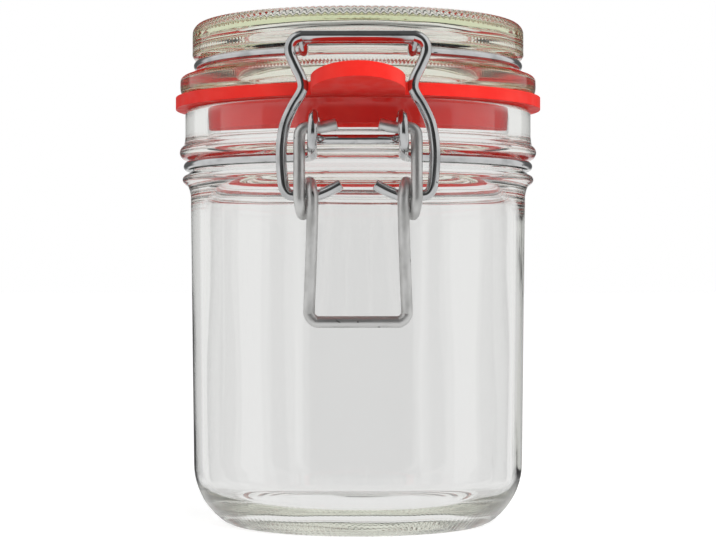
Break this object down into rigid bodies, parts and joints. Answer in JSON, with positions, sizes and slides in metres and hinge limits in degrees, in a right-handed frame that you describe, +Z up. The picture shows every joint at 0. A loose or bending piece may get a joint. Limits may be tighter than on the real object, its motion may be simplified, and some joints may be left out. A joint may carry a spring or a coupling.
{
  "type": "clip top jar",
  "caption": "Empty clear glass clip top preserving jar with a glass lid, a red rubber ring with a pull tab and a hinged wire clasp.",
  "frame": {"origin": "middle of the whole object's box, on the surface that it stands on; the jar's own axis stands 3.4 mm behind it, because the rubber tab reaches further out than the hinge", "axes": "+Z up along the jar, -Y towards the clasp and the tab, +X to the right seen from the front"},
  "size_m": [0.0798, 0.1032, 0.1086],
  "materials": {
    "glass": "clear moulded glass with a slight green tint",
    "rubber": "smooth red rubber",
    "wire": "bright drawn zinc plated steel wire"
  },
  "bodies": {
    "jar": {"jar_glass": "glass", "rubber_ring": "rubber", "neck_ring": "wire"},
    "lid": {"lid_glass": "glass", "lid_ring": "wire"},
    "lever": {"lever": "wire"},
    "bail": {"bail": "wire"}
  },
  "joints": [
    {"name": "lid_hinge", "type": "hinge", "parent": "jar", "child": "lid", "pos_m": [0, 0.0479, 0.088], "axis": [-1, 0, 0], "range_deg": [0, 110]},
    {"name": "lever_hinge", "type": "hinge", "parent": "jar", "child": "lever", "pos_m": [0, -0.0396, 0.083], "axis": [-1, 0, 0], "range_deg": [0, 100]},
    {"name": "bail_hinge", "type": "hinge", "parent": "lever", "child": "bail", "pos_m": [0, -0.0376, 0.0696], "axis": [-1, 0, 0], "range_deg": [-140, 0]}
  ],
  "couplings": [
    {"joint": "bail_hinge", "follows": "lever_hinge", "ratio": -1.4}
  ]
}
